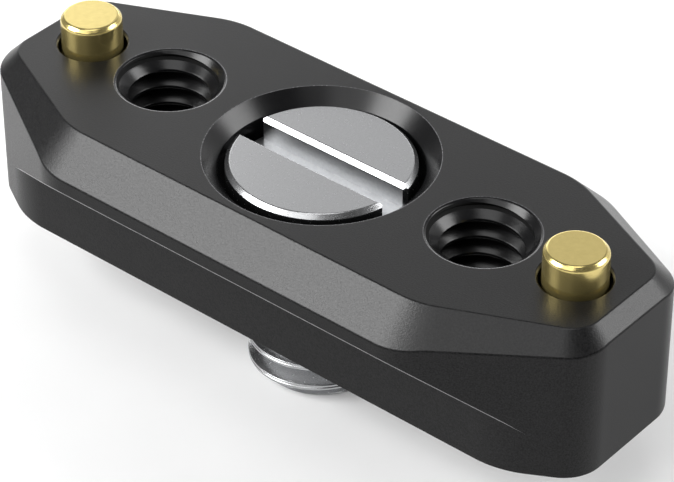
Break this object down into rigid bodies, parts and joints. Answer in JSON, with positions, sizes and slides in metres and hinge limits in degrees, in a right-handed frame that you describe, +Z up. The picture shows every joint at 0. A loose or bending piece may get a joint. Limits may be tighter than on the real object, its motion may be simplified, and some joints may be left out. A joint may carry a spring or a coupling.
{
  "type": "camera rail",
  "caption": "Dovetail accessory rail for a camera, with a captive slotted mounting screw, tapped holes and sprung locking pins in its crown.",
  "frame": {"origin": "on the mounting screw's axis, in the plane of the underside that seats on the camera", "axes": "+X along the rail, +Y across it, +Z up out of its crown; the screw points along -Z"},
  "size_m": [0.0478, 0.0204, 0.0181],
  "materials": {
    "anodised_rail": "bead-blasted and anodised black, semi-matt",
    "anodised_plug": "anodised black",
    "steel_screw": "turned, nickel grey",
    "brass_pin": "turned and polished",
    "spring_steel": "bright spring wire"
  },
  "bodies": {
    "rail": {"rail_body": "anodised_rail", "pin_spring_left": "spring_steel", "pin_spring_right": "spring_steel", "bore_plug_left": "anodised_plug", "bore_plug_right": "anodised_plug"},
    "screw": {"mounting_screw": "steel_screw"},
    "pin_left": {"locking_pin_left": "brass_pin"},
    "pin_right": {"locking_pin_right": "brass_pin"}
  },
  "joints": [
    {"name": "screw_spin", "type": "hinge", "parent": "rail", "child": "screw", "pos_m": [0, 0, 0], "axis": [0, 0, 1], "continuous": true},
    {"name": "pin_left_press", "type": "slide", "parent": "rail", "child": "pin_left", "axis": [0, 0, 1], "range_m": [-0.0021, 0], "stiffness_N_per_m": 800, "springref_m": 0.002, "deforming": ["pin_spring_left"]},
    {"name": "pin_right_press", "type": "slide", "parent": "rail", "child": "pin_right", "axis": [0, 0, 1], "range_m": [-0.0021, 0], "stiffness_N_per_m": 800, "springref_m": 0.002, "deforming": ["pin_spring_right"]}
  ]
}
